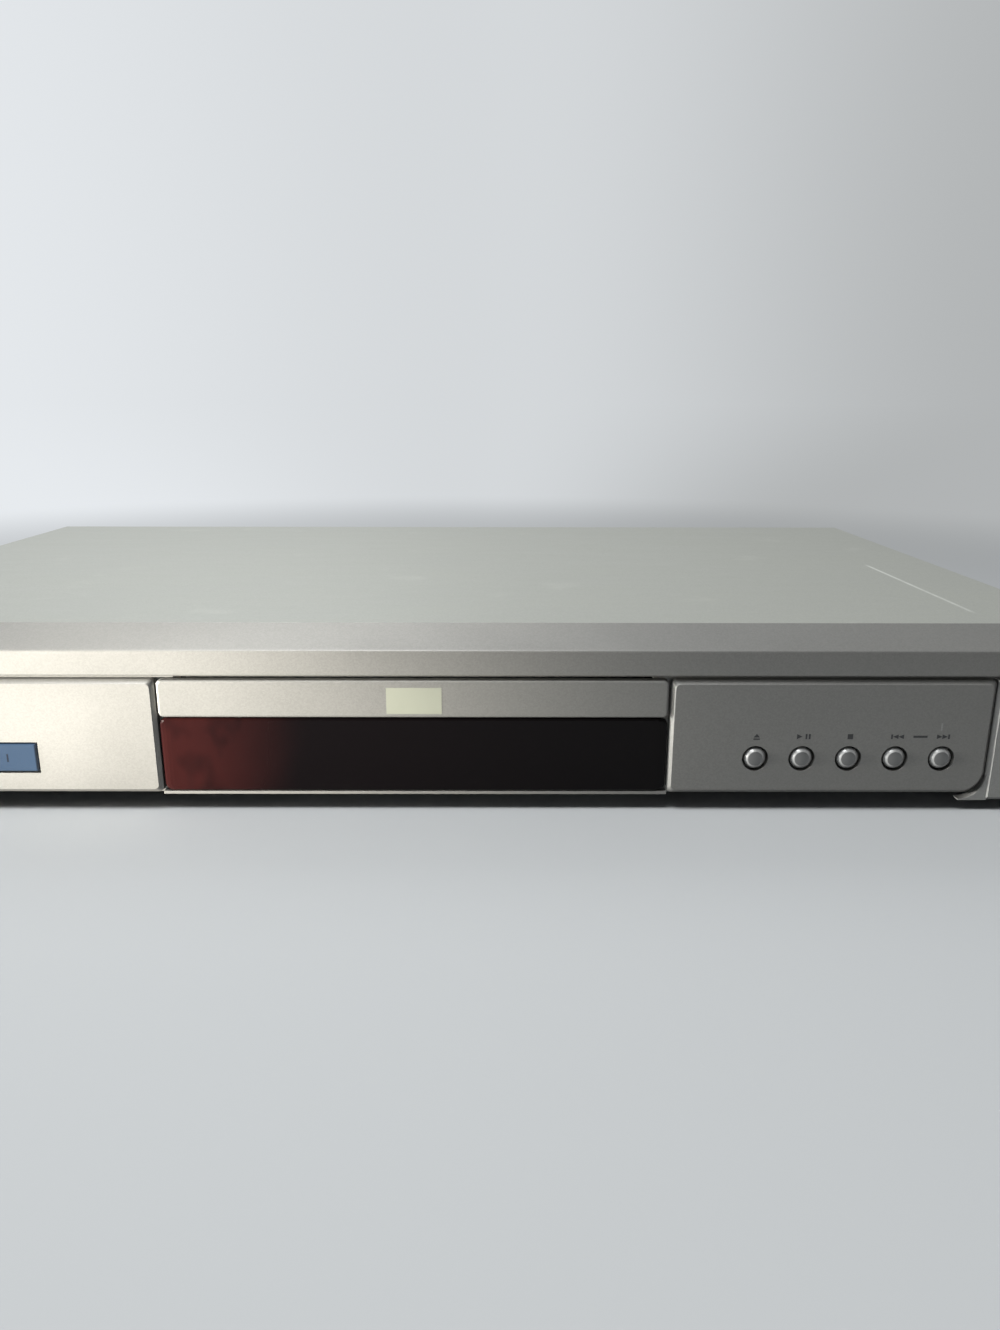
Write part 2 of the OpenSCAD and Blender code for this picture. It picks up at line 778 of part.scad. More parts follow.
// Chips: centre, the depth counted from the rear panel, then width and length
main_mid = main_x + main_w / 2;
main_end = main_x + main_w;
chips = [
    [main_mid, 36 - main_l, 26, 26], [main_end - 16, 30 - main_l, 12, 20], [main_mid, -56, 18, 12],
    [main_x + 14, 38 - main_l, 14, 22]
];

module board_chips() {
    z = z_main + board_t;
    color("black") for (c = chips)
        translate([c[0] - c[2] / 2, y_panel_in + c[1] - c[3] / 2, z]) cube([c[2], c[3], 2.4]);
}

module transformer() {
    core = [34, 32, 30];
    leg = 7;
    yoke = 6;
    winding_out = 3;
    low = [power_board_end - 46, y_panel_in - 88, z_main + board_t];
    high = low + core;
    color("orange") {
        // Ferrite core round the winding
        difference() {
            block(low, high);
            block([low[0] + leg, low[1] - 1, low[2] + yoke], [high[0] - leg, high[1] + 1, high[2] - yoke]);
        }
        block([low[0] + leg + e, low[1] - winding_out, low[2] + yoke + e],
            [high[0] - leg - e, high[1] + winding_out, high[2] - yoke - e]);
    }
}

// Can capacitors: centre, the depth counted from the rear panel, then radius and height
cans = [
    [power_board_x + 28, -44, 11, 30], [power_board_end - 22, -30, 5, 14],
    [power_board_end - 34, -30, 5, 14], [power_board_end - 20, -116, 6.3, 18],
    [power_board_end - 36, -118, 6.3, 18], [main_x + 24, -36, 4, 9], [main_x + 36, -36, 4, 9],
    [main_end - 8, -60, 5, 11]
];

module capacitors() {
    z = z_main + board_t;
    color("navy") for (c = cans)
        translate([c[0], y_panel_in + c[1], z]) rotate_extrude() polygon([
            [0, 0], [c[2], 0], [c[2], 1.6], [c[2] - 0.4, 2], [c[2], 2.4], [c[2], c[3] - 0.6],
            [c[2] - 0.6, c[3]], [0, c[3]]
        ]);
}

module heat_sink() {
    sink_l = 40;
    sink_h = 28;
    fins = 8;
    fin_t = 1.4;
    fin_out = 12;
    x = power_board_x + 14;
    y = y_panel_in - 104;
    z = z_main + board_t;
    color("lightgray") {
        block([x, y, z], [x + 2, y + sink_l, z + sink_h]);
        for (k = [0 : fins - 1]) let (fin_y = y + k * (sink_l - fin_t) / (fins - 1))
            block([x + 2 - e, fin_y, z + 2], [x + fin_out, fin_y + fin_t, z + sink_h]);
        // Power transistor clipped to the back
        block([x - 4.5, y + 12, z + 4], [x + e, y + 22, z + 20]);
    }
}

z_front_board = z_floor + 1.7;
front_board_h = z_door - 2.5 - z_front_board;

module front_board() {
    color("darkgreen") difference() {
        block([-power_x - 24, y_board, z_front_board],
            [button_places[4] + 12, y_board + board_t, z_front_board + front_board_h]);
        for (x = [power_w + 8.5 - power_x, button_x - 15]) bar_y(x, z_button, 1.6, y_board - 1, y_board + 3);
    }
    // Feet of the board on the chassis floor
    foot_x = door_w / 2 - 18;
    color("black") for (x = [-power_x - 12.5, -foot_x, foot_x, button_places[4] - 5.4])
        block([x - 4, y_board, z_floor], [x + 4, y_board + board_t, z_front_board]);
}

switch_top = y_board - 2.1;

module tact_switches() {
    color("black") for (x = concat([-power_x], button_places)) {
        block([x - 3, y_board - 1.6, z_button - 3], [x + 3, y_board, z_button + 3]);
        bar_y(x, z_button, 1.7, switch_top, y_board - 1.6 + e);
    }
}

module display_module() {
    z0 = z_window + 4.2;
    z1 = z_window + window_h - 5;
    color("teal") {
        block([-50, y_wall_back + 0.4, z0], [50, y_board, z1]);
        // Sealed exhaust tip of the glass
        bar_y(50.5, (z0 + z1) / 2, 1.6, y_wall_back + 2, y_board);
    }
}

module ribbon_cable() {
    w = 18;
    t = 0.5;
    y1 = y_panel_in - main_l + 16;
    z = z_main + board_t;
    x = main_x + 4;
    color("ivory") {
        // From a socket on the front board, along the floor, up onto the main board
        block([x, y_board + board_t, z_floor + 8], [x + w, y_board + board_t + 5, z_floor + 12]);
        block([x + 1, y_board + board_t + 5 - e, z_floor + 9.7],
            [x + w - 1, y1, z_floor + 9.7 + t]);
        block([x, y1 - e, z], [x + w, y1 + 5, z + 5]);
    }
}

module board_screws() {
    color("silver") for (p = board_posts)
        translate([p[0], p[1], z_main + board_t]) pan_screw(5);
}

// ---- Loader ----

bridge_half = 16;
bridge_boss_x = loader_out + 3;
bridge_t = 1.2;
cam_pin_x = 40;

module loader_frame() {
    y_end = y_loader + loader_l;
    wall_top = z_tray_top + 2;
    color("dimgray") difference() {
        union() {
            // Base, open under the traverse
            difference() {
                block([-loader_out, y_loader, z_loader], [loader_out, y_end, z_loader_floor]);
                block([-36, y_disc - 24, z_loader - 1], [36, y_pivot - 12, z_loader_floor + 1]);
            }
            for (s = [-1, 1]) {
                translate([s * (loader_in + loader_wall / 2) - loader_wall / 2, y_loader, z_loader])
                    cube([loader_wall, loader_l, wall_top - z_loader]);
                // Runner under the tray edge
                translate([s * (loader_in - guide_w / 2 + e) - guide_w / 2, y_loader, z_tray - gap - 2])
                    cube([guide_w, loader_l, 2]);
                // Tabs over the tray edge
                for (y = [y_loader + 2, y_disc + 34, y_tray_end - 20])
                    translate([s * (loader_in - 1.5 + e) - 1.5, y, z_tray_top + gap])
                        cube([3, 14, 1.7 - gap]);
                // Posts that carry the clamp bridge
                translate([s * (loader_in + loader_wall / 2) - loader_wall / 2,
                    y_disc - bridge_half, z_loader])
                    cube([loader_wall, 2 * bridge_half, z_bridge - z_loader]);
                for (d = [-1, 1])
                    post(s * bridge_boss_x, y_disc + d * (bridge_half - 5), 3.2, z_loader, z_bridge);
            }
            for (p = loader_posts) {
                post(p[0], p[1], 4.5, z_loader, z_loader + 3);
                block([min(p[0], sign(p[0]) * loader_out), p[1] - 4.5, z_loader],
                    [max(p[0], sign(p[0]) * loader_out), p[1] + 4.5, z_loader + 3]);
            }
            // Shafts of the two gears, each with a shoulder
            post(gear_x, gear_y, 4, z_loader, z_gear - gap);
            post(gear_x, gear_y, shaft_r, z_gear - gap - e, z_gear + gear_h);
            post(pinion_x, gear_y, 4, z_loader, z_pulley - gap);
            post(pinion_x, gear_y, shaft_r, z_pulley - gap - e, z_gear + gear_h);
            // Wall in front of the cam slider, and its hook
            block([cam_pin_x - 6, y_cam - gap - 2, z_loader], [loader_in + e, y_cam - gap, z_pin - 4]);
            // Cross wall behind the traverse
            block([-loader_in, y_end - 2.4, z_loader], [loader_in, y_end, z_tray - 1]);
        }
        // Windows in the side walls
        for (y = [y_loader + 34, y_disc + 30, y_disc + 66])
            block([-loader_out - 1, y, z_loader_floor + 5], [loader_out + 1, y + 20, z_tray - 6]);
        // Seats of the traverse axle
        translate([0, y_pivot, z_pivot]) rotate([0, 90, 0])
            cylinder(r = axle_r + fit, h = 2 * loader_out + 2, center = true);
        for (p = loader_posts) post(p[0], p[1], 1.45, z_loader - 1, z_loader + 4);
        for (x = [-bridge_boss_x, bridge_boss_x], d = [-1, 1])
            post(x, y_disc + d * (bridge_half - 5), 1.45, z_bridge - 8, z_bridge + 1);
    }
}

module clamp_bridge() {
    x = bridge_boss_x + 4;
    rib = 4;
    color("silver") difference() {
        union() {
            block([-x, y_disc - bridge_half, z_bridge], [x, y_disc + bridge_half, z_bridge + bridge_t]);
            for (y = [y_disc - bridge_half, y_disc + bridge_half - bridge_t])
                block([-loader_in, y, z_bridge], [loader_in, y + bridge_t, z_bridge + rib]);
        }
        post(0, y_disc, puck_neck_r + 0.4, z_bridge - 1, z_bridge + rib);
        for (x = [-bridge_boss_x, bridge_boss_x], d = [-1, 1])
            post(x, y_disc + d * (bridge_half - 5), 1.6, z_bridge - 1, z_bridge + 3);
        // Lightening holes
        for (s = [-1, 1], k = [0 : 1]) post(s * (30 + 20 * k), y_disc, 6, z_bridge - 1, z_bridge + 3);
    }
}

module loader_screws() {
    color("silver") {
        for (p = loader_posts) translate([p[0], p[1], z_loader + 3]) pan_screw(6);
        for (x = [-bridge_boss_x, bridge_boss_x], d = [-1, 1])
            translate([x, y_disc + d * (bridge_half - 5), z_bridge + bridge_t]) pan_screw(6);
    }
}

module tray_motor() {
    top = z_pulley - 2;
    color("silver") {
        translate([motor_x, gear_y, z_loader_floor]) rotate_extrude() polygon([
            [0, 0], [motor_r - 0.8, 0], [motor_r, 0.8], [motor_r, top - z_loader_floor - 0.8],
            [motor_r - 0.8, top - z_loader_floor], [3.4, top - z_loader_floor],
            [3.4, top - z_loader_floor + 1], [0, top - z_loader_floor + 1]
        ]);
        post(motor_x, gear_y, 1, top, z_pulley + pulley_h);
    }
}

// Outline of the belt run, at one radius round each pulley
module belt_outline(grow) {
    hull() {
        translate([pinion_x, gear_y]) circle(pulley_r - 1 + grow);
        translate([motor_x, gear_y]) circle(motor_pulley_r - 1 + grow);
    }
}

module drive_belt() {
    color("black") translate([0, 0, z_pulley + (pulley_h - belt_h) / 2])
        linear_extrude(height = belt_h) difference() {
            belt_outline(gap + belt_t);
            belt_outline(gap);
        }
}

// Profile of a pulley with a belt groove, from its bore outwards
module pulley_profile(r, bore) {
    groove = (pulley_h - belt_h) / 2 - gap;
    polygon([
        [bore, 0], [r, 0], [r, groove - 0.5], [r - 1, groove], [r - 1, pulley_h - groove],
        [r, pulley_h - groove + 0.5], [r, pulley_h], [bore, pulley_h]
    ]);
}

module tray_gear() {
    color("white") translate([gear_x, gear_y, z_gear]) difference() {
        linear_extrude(height = gear_h) gear_outline(tray_teeth, 0);
        translate([0, 0, -1]) cylinder(r = shaft_r + fit, h = gear_h + 2);
        // Web, thinner than the rim
        translate([0, 0, gear_h - 1]) rotate_extrude()
            translate([4, 0]) square([tray_gear_r - 7, 2]);
        for (k = [0 : 4]) rotate(k * 72) translate([6.4, 0, -1]) cylinder(r = 1.3, h = gear_h + 2);
    }
}

module pulley_gear() {
    color("ivory") translate([pinion_x, gear_y, 0]) {
        difference() {
            union() {
                translate([0, 0, z_gear]) linear_extrude(height = gear_h)
                    gear_outline(pinion_teeth, 180 / pinion_teeth);
                post(0, 0, pinion_r - 1.3, z_pulley + pulley_h - e, z_gear + e);
                translate([0, 0, z_pulley]) rotate_extrude() pulley_profile(pulley_r, 0);
            }
            translate([0, 0, z_pulley - 1]) cylinder(r = shaft_r + fit, h = 20);
        }
    }
}

module motor_pulley() {
    color("ivory") translate([motor_x, gear_y, z_pulley]) rotate_extrude()
        pulley_profile(motor_pulley_r, 1 + fit);
}

// ---- Disc tray ----

// A straight rack outline with its teeth towards +X, the first gap at y = 0
module rack_outline(count) {
    half = rack_pitch / 4 - backlash / 4;
    slope = tan(pressure);
    tip = half - gear_module * slope;
    root = half + 1.25 * gear_module * slope;
    polygon(concat(
        [[-1.25 * gear_module - 2.6, 0]],
        [for (k = [0 : count - 1], p = [
            [-1.25 * gear_module, -root], [gear_module, -tip],
            [gear_module, tip], [-1.25 * gear_module, root]
        ]) [p[0], p[1] + (k + 0.5) * rack_pitch]],
        [[-1.25 * gear_module - 2.6, count * rack_pitch]]
    ));
}

// Upper outline of the tray, round at its front corners
module tray_outline() {
    r = 4;
    translate([-tray_w / 2 + r, y_tray]) square([tray_w - 2 * r, tray_l]);
    translate([-tray_w / 2, y_tray + r]) square([tray_w, tray_l - r]);
    for (s = [-1, 1]) translate([s * (tray_w / 2 - r), y_tray + r]) circle(r);
}

module disc_tray() {
    inner = tray_w / 2 - tray_wall;
    rear_open = 4 - rack_x;
    color("gray") difference() {
        union() {
            difference() {
                translate([0, 0, z_tray]) linear_extrude(height = tray_h) tray_outline();
                // Open underneath, and at the rear over the traverse
                block([-inner, y_tray + tray_wall, z_tray - 1], [inner, y_tray_end - tray_wall, z_tray_under]);
                block([-rear_open, y_tray_end - tray_wall - 1, z_tray - 1],
                    [rear_open, y_tray_end + 1, z_tray_under]);
            }
            // Rack under the left side
            translate([rack_x, gear_y - 2 * rack_pitch, z_gear])
                linear_extrude(height = z_tray_under - z_gear + e) rack_outline(rack_teeth);
            // Ribs that stiffen the front
            for (x = [-44, -22, 0, 22, 44])
                block([x - 0.7, y_tray + 1, z_tray + 2], [x + 0.7, gear_y - 14, z_tray_under + e]);
        }
        // Wells for the two disc sizes
        post(0, y_disc, well_r, z_well, z_tray_top + 1);
        post(0, y_disc, small_well_r, z_well - small_well_depth, z_tray_top);
        // Slot for the spindle and the pick-up, open at the rear
        post(0, y_disc, slot_w / 2, z_tray - 1, z_tray_top + 1);
        block([-slot_w / 2, y_disc, z_tray - 1], [slot_w / 2, y_tray_end + 1, z_tray_top + 1]);
        // Finger notches at the rim of the well
        for (a = [45, 135, 225, 315])
            translate([well_r * cos(a), y_disc + well_r * sin(a), z_well])
                cylinder(r = 9, h = well_depth + 1);
    }
}

module tray_front() {
    r = 0.8;
    steps = 3;
    x = door_w / 2;
    color("silver") {
        hull() for (k = [0 : steps]) let (a = 90 * k / steps, i = r * (1 - cos(a)))
            slab(y_face + r * (1 - sin(a)), y_face + door_t)
                round_rect(-x + i, z_door + i, 2 * (x - i), door_h - 2 * i, 1.6 - i, $fn = 20);
        // Hooks that hold the door on the tray
        for (x = [-tray_w / 2 + 14, 0, tray_w / 2 - 14])
            block([x - 6, y_face + door_t - e, z_tray + 1], [x + 6, y_tray, z_tray_top - 1]);
    }
}

// ---- Traverse ----

puck_neck_r = 11;
slot_h = 2 * pin_r + 0.8;

module cam_slider() {
    x1 = cam_pin_x + cam_travel + 5;
    color("ivory") difference() {
        block([cam_pin_x - 5, y_cam, z_cam], [x1, y_cam + cam_t, z_pin + 4]);
        // Slanted slot for the traverse pin
        slab(y_cam - 1, y_cam + cam_t + 1) hull() {
            translate([cam_pin_x, z_pin]) circle(slot_h / 2);
            translate([cam_pin_x + cam_travel, z_pin - pin_drop]) circle(slot_h / 2);
        }
    }
}

module traverse_plate() {
    half = traverse_w / 2;
    rod_end = rod_front + rod_l;
    ear_x = half - 5;
    color("silver") difference() {
        union() {
            block([-half, y_plate, z_plate], [half, y_pivot - 5, z_plate + plate_t]);
            // Front flange with the cam pin
            block([-half, y_plate, z_plate - 4], [half, y_plate + plate_t, z_plate + e]);
            bar_y(cam_pin_x, z_pin, pin_r, y_cam + 0.2, y_plate + e);
            // Ears on the axle
            for (s = [-1, 1]) block([s * ear_x - 3, y_pivot - 8, z_pivot - 4],
                [s * ear_x + 3, y_pivot + 4, z_plate + plate_t]);
            // Rod and screw bearings
            for (s = [-1, 1], y = [rod_front - 3, rod_end - 1])
                block([s * rod_x - 3, y, z_plate], [s * rod_x + 3, y + 4, z_rod + 3]);
            block([lead_x - 3, rod_front - 3, z_plate], [lead_x + 3, rod_front, z_lead + 3]);
            block([lead_x - 5, rod_end - 1, z_plate], [lead_x + 5, rod_end + 1, z_lead + 3]);
        }
        // Window for the pick-up
        block([-slot_w / 2, y_disc + 15, z_plate - 1], [slot_w / 2, rod_end + 2, z_plate + 3]);
        post(0, y_disc, 5, z_plate - 1, z_plate + 3);
        for (x = [-34, 34]) post(x, y_disc, 7, z_plate - 1, z_plate + 3);
        for (s = [-1, 1]) bar_y(s * rod_x, z_rod, rod_r + fit, rod_front - 4, rod_end + 4);
        bar_y(lead_x, z_lead, screw_r + fit, rod_front - 1.5, rod_end + 4);
        translate([0, y_pivot, z_pivot]) rotate([0, 90, 0])
            cylinder(r = axle_r + fit, h = traverse_w + 10, center = true);
    }
}

z_lead = z_plate + plate_t + lead_motor_r + 0.1;

module traverse_axle() {
    color("silver") translate([0, y_pivot, z_pivot]) rotate([0, 90, 0])
        cylinder(r = axle_r, h = 2 * loader_out, center = true);
}

module spindle_motor() {
    z = z_plate + plate_t;
    color("gray") difference() {
        union() {
            post(0, y_disc, spindle_r, z, z + spindle_h - 1);
            post(0, y_disc, spindle_r - 2.5, z, z + spindle_h);
            post(0, y_disc, 5 - fit, z_plate - 0.5, z + e);
        }
        post(0, y_disc, 1.5 + fit, z + 0.5, z + spindle_h + 1);
    }
}

module turntable() {
    z0 = z_plate + plate_t + spindle_h + gap;
    z = z_disc - z0;
    color("black") translate([0, y_disc, z0]) rotate_extrude() polygon([
        [0, -spindle_h + 1.2], [1.5, -spindle_h + 1.2], [1.5, 0], [table_r - 3, 0],
        [table_r, 2], [table_r, z], [hub_r + 0.6, z], [hub_r + 0.6, z - 0.6], [hub_r, z - 0.6],
        [hub_r, z + 1.4], [hub_r - 1.6, z + 2.8], [0, z + 2.8]
    ]);
}

module clamp_puck() {
    low = z_disc + 1.2 + gap;
    neck = z_bridge + bridge_t + gap;
    mid = z_bridge - 0.7;
    color("ivory") translate([0, y_disc, 0]) rotate_extrude() polygon([
        [0, z_disc + 3.3], [hub_r + 0.9, z_disc + 3.3], [hub_r + 0.9, low], [puck_r - 0.6, low],
        [puck_r, low + 0.6], [puck_r, mid], [puck_neck_r, mid], [puck_neck_r, neck],
        [puck_neck_r + 3, neck], [puck_neck_r + 3, neck + 1.2], [0, neck + 1.2]
    ]);
}

module guide_rods() {
    color("silver") for (s = [-1, 1])
        bar_y(s * rod_x, z_rod, rod_r, rod_front - 3, rod_front + rod_l + 3);
}

module pickup_body() {
    z0 = z_plate + plate_t + 1.2;
    y0 = y_sled - sled_l / 2;
    y1 = y_sled + sled_l / 2;
    rod_arm = rod_x + 3.4;
    color("dimgray") difference() {
        union() {
            block([-sled_w / 2, y0, z0], [sled_w / 2, y1, z_sled_top]);
            block([-rod_arm, y0 + 5, z_rod - 3.2], [rod_arm, y1, z_rod + 3.2]);
            // Nut on the lead screw
            block([lead_x - 3.5, y_sled, z_lead - 3.5], [-rod_arm + e, y_sled + 7, z_lead + 3.5]);
        }
        post(0, y_disc, table_r + 1.5, z0 - 1, z_sled_top + 1);
        // Recess round the lens
        block([-9, y_sled - 7, z_sled_top - 1], [9, y_sled + 7, z_sled_top + 1]);
        for (s = [-1, 1]) bar_y(s * rod_x, z_rod, rod_r + fit, y0 - 1, y1 + 1);
        bar_y(lead_x, z_lead, screw_r + gap, y0, y1);
    }
    // Lens in its holder
    color("lightblue") {
        block([-5, y_sled - 4.5, z_sled_top - 1 - e], [5, y_sled + 4.5, z_disc - 2.6]);
        post(0, y_sled, 3, z_disc - 2.6 - e, z_disc - 1.6);
    }
}

module lead_screw() {
    turns = 8;
    step = (rod_l - 6) / turns;
    color("silver") {
        bar_y(lead_x, z_lead, screw_r - 0.4, rod_front - 1.2, rod_front + rod_l + 1);
        for (k = [0 : turns - 1])
            bar_y(lead_x, z_lead, screw_r, rod_front + 2 + k * step, rod_front + 2 + k * step + step * 0.6);
    }
}

module sled_motor() {
    y = rod_front + rod_l + 1;
    color("silver") difference() {
        bar_y(lead_x, z_lead, lead_motor_r, y, y + 14);
        bar_y(lead_x, z_lead, screw_r, y - 1, y + 1);
    }
}

// ---- Buttons ----

flange_y = y_wall_back + gap;
pusher_y = switch_top - button_travel - 0.15;

// A button turned about its axis: a slight dome, a steep cone round it, a stem and a flange
module round_button(k) {
    crown = 0.25;
    steps = 3;
    front = y_face - button_proud;
    face_r = button_r - button_bevel;
    cone = crown + 0.9 * button_bevel;
    x = button_places[k];
    color("silver") translate([x, front, z_button]) rotate([-90, 0, 0]) rotate_extrude() polygon(concat(
        [for (i = [0 : steps]) [face_r * i / steps, crown * pow(i / steps, 2)]],
        [[button_r - 0.1, cone - 0.1], [button_r, cone + 0.1], [button_r, flange_y - front],
            [ring_r, flange_y - front], [ring_r, flange_y - front + 1],
            [1.6, flange_y - front + 1], [1.6, pusher_y - front], [0, pusher_y - front]]
    ));
}

module eject_button() {
    round_button(0);
}

module play_button() {
    round_button(1);
}

module stop_button() {
    round_button(2);
}

module back_button() {
    round_button(3);
}

module next_button() {
    round_button(4);
}

module power_button() {
    x0 = -power_x - power_w / 2;
    z0 = z_button - power_h / 2;
    color("steelblue") {
        hull() {
            block([x0 + 0.5, y_face - 0.3, z0 + 0.5], [x0 + power_w - 0.5, y_face, z0 + power_h - 0.5]);
            block([x0, y_face + 0.2, z0], [x0 + power_w, flange_y + e, z0 + power_h]);
        }
        block([x0 - 1.2, flange_y, z0 - 1.2], [x0 + power_w + 1.2, flange_y + 1, z0 + power_h + 1.2]);
        bar_y(-power_x, z_button, 1.6, flange_y + 1 - e, pusher_y);
    }
}

chassis_base();
top_cover();
front_fascia();
left_panel();
right_panel();
left_end_cap();
right_end_cap();
display_window();
rear_panel();
feet();
foot_pads();
cover_screws();
rear_screws();
main_board();
board_chips();
power_board();
transformer();
capacitors();
heat_sink();
mains_inlet();
jack_block();
jack_sleeves();
red_collars();
white_collar();
yellow_collar();
green_collar();
blue_collar();
s_video_jack();
optical_jack();
front_board();
tact_switches();
display_module();
ribbon_cable();
board_screws();
loader_frame();
clamp_bridge();
loader_screws();
tray_motor();
drive_belt();
disc_tray();
tray_front();
tray_gear();
pulley_gear();
motor_pulley();
cam_slider();
traverse_plate();
traverse_axle();
spindle_motor();
guide_rods();
sled_motor();
turntable();
clamp_puck();
pickup_body();
lead_screw();
power_button();
eject_button();
play_button();
stop_button();
back_button();
next_button();
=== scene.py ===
"""Looks of a slim full-width disc player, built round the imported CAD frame."""
import json
import math

import bmesh
import bpy
from mathutils import Euler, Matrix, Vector

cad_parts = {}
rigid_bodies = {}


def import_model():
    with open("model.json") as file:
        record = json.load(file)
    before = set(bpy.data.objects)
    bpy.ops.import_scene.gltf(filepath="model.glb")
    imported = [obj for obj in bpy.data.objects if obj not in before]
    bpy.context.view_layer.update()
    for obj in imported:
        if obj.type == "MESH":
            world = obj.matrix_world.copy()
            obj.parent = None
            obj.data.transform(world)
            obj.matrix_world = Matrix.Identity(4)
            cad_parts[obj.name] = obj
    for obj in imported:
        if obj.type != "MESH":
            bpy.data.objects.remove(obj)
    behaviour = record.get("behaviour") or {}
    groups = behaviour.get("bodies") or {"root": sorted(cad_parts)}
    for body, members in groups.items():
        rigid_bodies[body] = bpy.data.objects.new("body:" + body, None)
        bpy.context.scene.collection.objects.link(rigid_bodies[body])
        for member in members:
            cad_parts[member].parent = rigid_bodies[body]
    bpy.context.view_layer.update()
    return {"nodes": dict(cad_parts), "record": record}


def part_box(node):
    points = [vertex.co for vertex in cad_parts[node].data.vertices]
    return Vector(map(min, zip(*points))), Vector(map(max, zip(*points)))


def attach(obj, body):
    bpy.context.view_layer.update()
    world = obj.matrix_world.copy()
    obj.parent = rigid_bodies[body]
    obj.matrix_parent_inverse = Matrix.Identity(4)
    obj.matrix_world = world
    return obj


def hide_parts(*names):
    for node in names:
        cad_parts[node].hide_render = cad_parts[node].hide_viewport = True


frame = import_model()

MM = 0.001
NODES = frame["nodes"]
RECORD = frame["record"]
BODY_OF = {node: body for body, nodes in RECORD["behaviour"]["bodies"].items() for node in nodes}
SLOT_OF = {row["node"]: row["material_slot"] for row in RECORD["subparts"]}

# Places taken from the frame
FACE_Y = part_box("left_panel")[0].y
DOOR_FACE_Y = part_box("tray_front")[0].y
WINDOW_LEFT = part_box("display_window")[0].x


def middle(node):
    """The middle of a node's box at rest."""
    low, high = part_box(node)
    return (low + high) / 2


# ---- Camera, floor and light ----

# The pale room behind and round the object: a direction's X, then the tone seen there. The far
# floor is painted with these same tones, a painted light falloff.
ROOM_TONES = ((-0.6, (0.80, 0.83, 0.86)), (0.0, (0.66, 0.685, 0.705)), (0.5, (0.44, 0.455, 0.46)))
# How much of that tone is left in the dimmer room in front of the object, and where it changes
FRONT_TONE = 0.4
FRONT_FROM, BEHIND_FROM = -0.8, 0.1


def make_camera():
    """The photograph's viewpoint: a little right of the middle, looking down at the front."""
    focal_px, long_side_px, sensor_mm = 938.9, 1330, 36
    right_of_middle, before_face, above_floor = 0.0263, 0.2759, 0.1251
    camera = bpy.data.objects.new("camera", bpy.data.cameras.new("camera"))
    bpy.context.collection.objects.link(camera)
    camera.location = (right_of_middle, FACE_Y - before_face, above_floor)
    pitch, yaw, roll = math.radians(15.6), math.radians(-0.09), math.radians(0.1)
    camera.rotation_euler = Euler((math.pi / 2 - pitch, -roll, yaw))
    camera.data.sensor_width = sensor_mm
    camera.data.lens = sensor_mm * focal_px / long_side_px
    camera.data.clip_start = 0.01
    bpy.context.scene.camera = camera


def seen_directly(nodes, links):
    """1 for what the camera sees, straight, mirrored or through glass; 0 for other light."""
    path = nodes.new("ShaderNodeLightPath")
    value = path.outputs["Is Camera Ray"]
    for name in ("Is Glossy Ray", "Is Transmission Ray"):
        larger = nodes.new("ShaderNodeMath")
        larger.operation = "MAXIMUM"
        links.new(value, larger.inputs[0])
        links.new(path.outputs[name], larger.inputs[1])
        value = larger.outputs[0]
    return value


def room_tone(nodes, links, vector):
    """The tone of the pale room in the direction of a vector, brightest on the left."""
    unit = nodes.new("ShaderNodeVectorMath")
    unit.operation = "NORMALIZE"
    links.new(vector, unit.inputs[0])
    split = nodes.new("ShaderNodeSeparateXYZ")
    links.new(unit.outputs["Vector"], split.inputs[0])
    run = nodes.new("ShaderNodeMapRange")
    run.inputs["From Min"].default_value = -1
    links.new(split.outputs["X"], run.inputs["Value"])
    ramp = nodes.new("ShaderNodeValToRGB")
    ramp.color_ramp.interpolation = "EASE"
    stops = ramp.color_ramp.elements
    while len(stops) < len(ROOM_TONES):
        stops.new(0.5)
    for stop, (x, tone) in zip(stops, ROOM_TONES):
        stop.position = (x + 1) / 2
        stop.color = (*tone, 1)
    links.new(run.outputs[0], ramp.inputs["Fac"])
    behind = nodes.new("ShaderNodeMapRange")
    behind.interpolation_type = "SMOOTHSTEP"
    behind.inputs["From Min"].default_value = FRONT_FROM
    behind.inputs["From Max"].default_value = BEHIND_FROM
    behind.inputs["To Min"].default_value = FRONT_TONE
    links.new(split.outputs["Y"], behind.inputs["Value"])
    dimmed = nodes.new("ShaderNodeVectorMath")
    dimmed.operation = "SCALE"
    links.new(ramp.outputs["Color"], dimmed.inputs[0])
    links.new(behind.outputs[0], dimmed.inputs["Scale"])
    return dimmed.outputs["Vector"]


